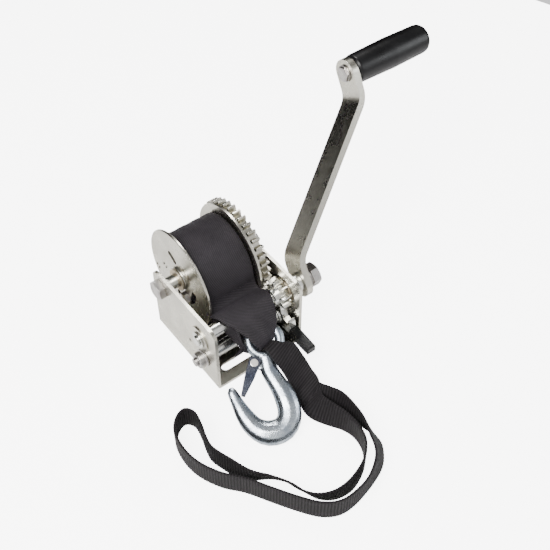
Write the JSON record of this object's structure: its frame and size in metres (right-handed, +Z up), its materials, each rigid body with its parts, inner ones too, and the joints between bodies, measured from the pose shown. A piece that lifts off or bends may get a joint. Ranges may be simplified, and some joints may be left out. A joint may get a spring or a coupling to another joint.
{
  "type": "boat trailer winch",
  "caption": "Hand-cranked strap winch in a folded steel channel frame, with a geared drum, a cranked handle, a pawl, a snap hook and a webbing tail.",
  "frame": {"origin": "middle of the underside of the base of the channel frame", "axes": "+X along the drum axis towards the crank, +Y towards the back, +Z up"},
  "size_m": [0.3793, 0.2943, 0.1997],
  "materials": {
    "zinc_plate": "zinc plated, satin",
    "zinc_fastener": "zinc plated, dull",
    "bright_steel": "turned, bright",
    "forged_zinc": "forged, bluish zinc",
    "bush_bronze": "sintered",
    "black_plastic": "satin moulded",
    "strap_fabric": "woven polyester",
    "webbing_fabric": "ribbed webbing"
  },
  "bodies": {
    "frame": {"frame_channel": "zinc_plate", "drum_bolt": "zinc_fastener", "drum_bolt_nut": "zinc_fastener", "drum_axle_tube": "bright_steel", "shaft_bush_left": "bush_bronze", "shaft_bush_right": "bush_bronze", "tie_bolt": "zinc_fastener", "tie_nut": "zinc_fastener", "tie_spacer": "bright_steel", "tie_washer": "bright_steel", "pawl_spring": "bright_steel", "strap_lead": "strap_fabric", "tail_loop": "webbing_fabric"},
    "drum": {"drum_hub": "bright_steel", "drum_bush_left": "bush_bronze", "drum_bush_right": "bush_bronze", "drum_flange_left": "zinc_plate", "drum_flange_right": "zinc_plate", "drum_gear": "zinc_plate", "gear_rivet_1": "zinc_fastener", "gear_rivet_2": "zinc_fastener", "gear_rivet_3": "zinc_fastener", "strap_roll": "strap_fabric", "anchor_bolt": "zinc_fastener", "anchor_nut": "zinc_fastener"},
    "crank": {"pinion": "bright_steel", "crank_shaft": "bright_steel", "shaft_retaining_ring": "bright_steel", "crank_spacer": "bright_steel", "crank_arm": "zinc_plate", "crank_washer": "zinc_fastener", "crank_nut": "zinc_fastener", "grip_stud": "zinc_fastener"},
    "grip": {"grip": "black_plastic"},
    "pawl": {"pawl_plate": "bright_steel", "pawl_lever": "black_plastic"},
    "hook": {"hook": "forged_zinc", "latch_rivet": "zinc_fastener", "latch_spring": "bright_steel", "tail_tab": "webbing_fabric"},
    "latch": {"hook_latch": "forged_zinc"}
  },
  "joints": [
    {"name": "drum_spin", "type": "hinge", "parent": "frame", "child": "drum", "pos_m": [0, 0.0358, 0.0603], "axis": [1, 0, 0], "continuous": true},
    {"name": "crank_spin", "type": "hinge", "parent": "frame", "child": "crank", "pos_m": [0, -0.02434, 0.0487], "axis": [1, 0, 0], "continuous": true},
    {"name": "grip_spin", "type": "hinge", "parent": "crank", "child": "grip", "pos_m": [0.22, 0.05316, 0.18512], "axis": [1, 0, 0], "continuous": true},
    {"name": "pawl_release", "type": "hinge", "parent": "frame", "child": "pawl", "pos_m": [0.037, -0.0287, 0.0269], "axis": [1, 0, 0], "range_deg": [0, 15], "stiffness_Nm_per_rad": 0.02, "springref_deg": -17.19},
    {"name": "hook_swing", "type": "hinge", "parent": "frame", "child": "hook", "pos_m": [0.00437, -0.0461, 0.05113], "axis": [-0.8729, 0.4879, 0], "range_deg": [0, 30]},
    {"name": "latch_open", "type": "hinge", "parent": "hook", "child": "latch", "pos_m": [-0.01984, -0.06646, 0.03606], "axis": [-0.2215, -0.3963, 0.891], "range_deg": [0, 38], "stiffness_Nm_per_rad": 0.01, "springref_deg": -28.65}
  ],
  "couplings": [
    {"joint": "crank_spin", "follows": "drum_spin", "ratio": -3.9}
  ]
}
